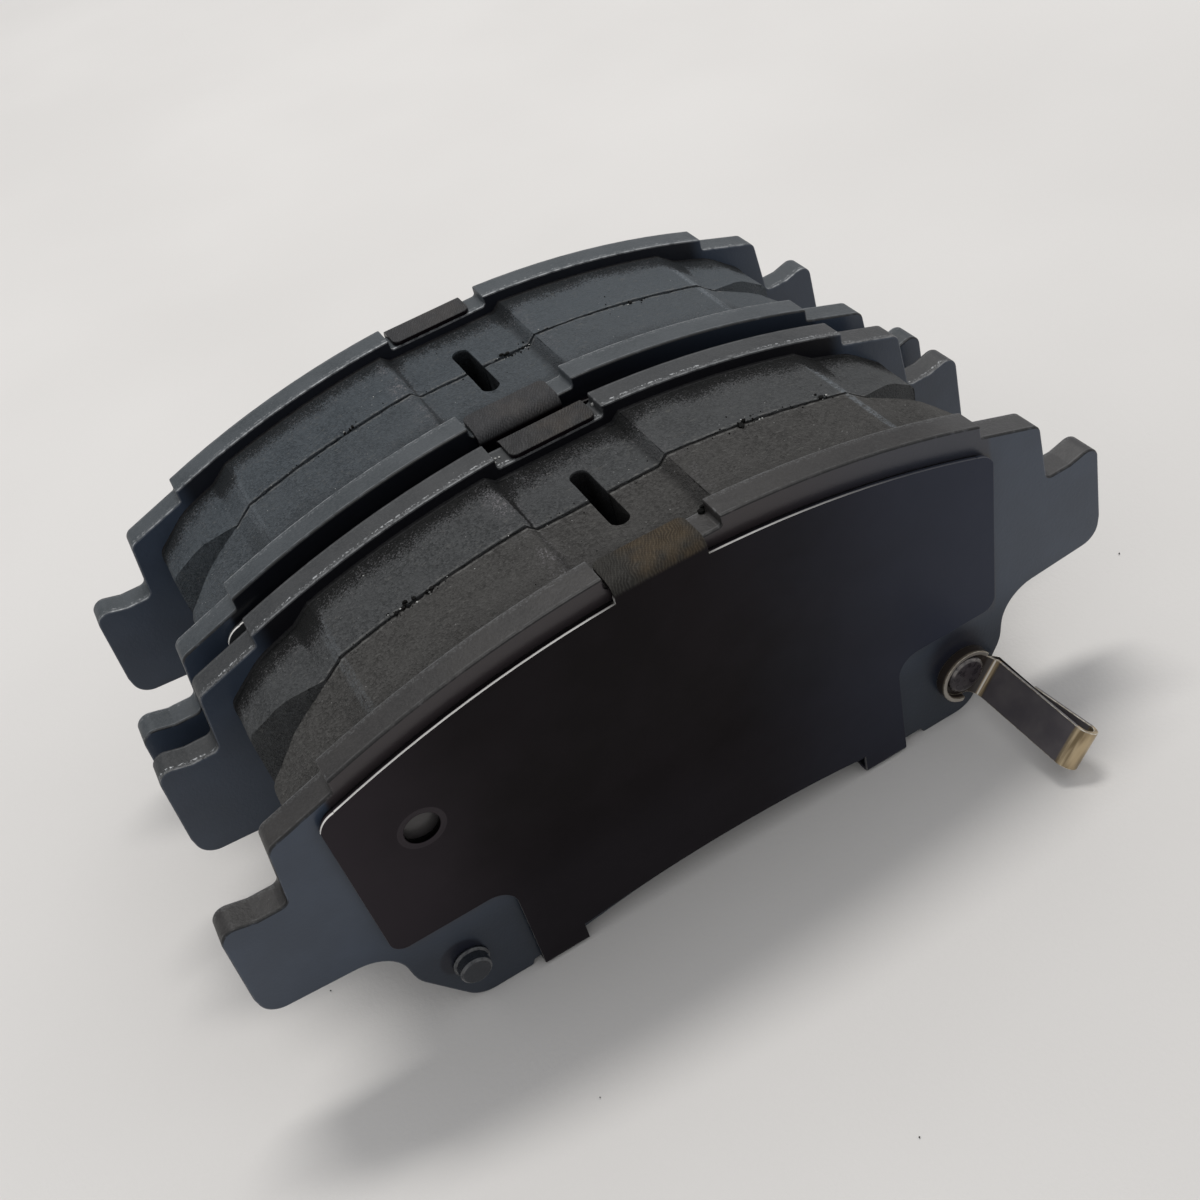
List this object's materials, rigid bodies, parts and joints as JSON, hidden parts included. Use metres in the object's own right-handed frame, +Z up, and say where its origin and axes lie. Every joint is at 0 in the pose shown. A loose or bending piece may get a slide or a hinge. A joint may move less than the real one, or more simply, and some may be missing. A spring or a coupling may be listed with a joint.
{
  "type": "brake pad set",
  "caption": "Disc brake pads standing in a face-to-face stack: arched steel plates with ears, friction blocks, shims, studs and wear indicators.",
  "frame": {"origin": "centre of the stack's footprint, on the surface that the plates' lower lobes stand on", "axes": "+X along the pads towards the front pad's wear indicator, +Y through the stack from the front pad to the rear pad (the brake disc's axis), +Z up to the arched edges"},
  "size_m": [0.1526, 0.1306, 0.0667],
  "materials": {
    "plate_paint": "satin black with a blue-grey cast, rubbed along its sheared edges",
    "underlayer": "dull dark bonding layer",
    "friction": "coarse, matt and granular, with fine fibres and specks",
    "liner_rubber": "matt black",
    "shim_coat": "smooth brownish-black coating with a bright cut edge",
    "stud_paint": "satin black",
    "rivet_steel": "dull dark steel",
    "spring_steel": "dull plated spring steel with a yellow cast at the bends"
  },
  "bodies": {
    "second_pad": {"second_plate": "plate_paint", "second_underlayer": "underlayer", "second_friction": "friction", "second_liner": "liner_rubber", "second_shim": "shim_coat", "second_stud_left": "stud_paint", "second_stud_right": "stud_paint"},
    "front_pad": {"front_plate": "plate_paint", "front_underlayer": "underlayer", "front_friction": "friction", "front_liner": "liner_rubber", "front_shim": "shim_coat", "front_stud": "stud_paint", "front_rivet": "rivet_steel", "front_indicator": "spring_steel"},
    "third_pad": {"third_plate": "plate_paint", "third_underlayer": "underlayer", "third_friction": "friction", "third_liner": "liner_rubber", "third_shim": "shim_coat", "third_stud_left": "stud_paint", "third_stud_right": "stud_paint"},
    "rear_pad": {"rear_plate": "plate_paint", "rear_underlayer": "underlayer", "rear_friction": "friction", "rear_liner": "liner_rubber", "rear_shim": "shim_coat", "rear_stud": "stud_paint", "rear_rivet": "rivet_steel", "rear_indicator": "spring_steel"}
  },
  "joints": [
    {"name": "front_slide", "type": "slide", "parent": "second_pad", "child": "front_pad", "axis": [0, -1, 0], "range_m": [0, 0.06]},
    {"name": "third_slide", "type": "slide", "parent": "second_pad", "child": "third_pad", "axis": [0, 1, 0], "range_m": [0, 0.06]},
    {"name": "rear_slide", "type": "slide", "parent": "third_pad", "child": "rear_pad", "axis": [0, 1, 0], "range_m": [0, 0.06]}
  ]
}
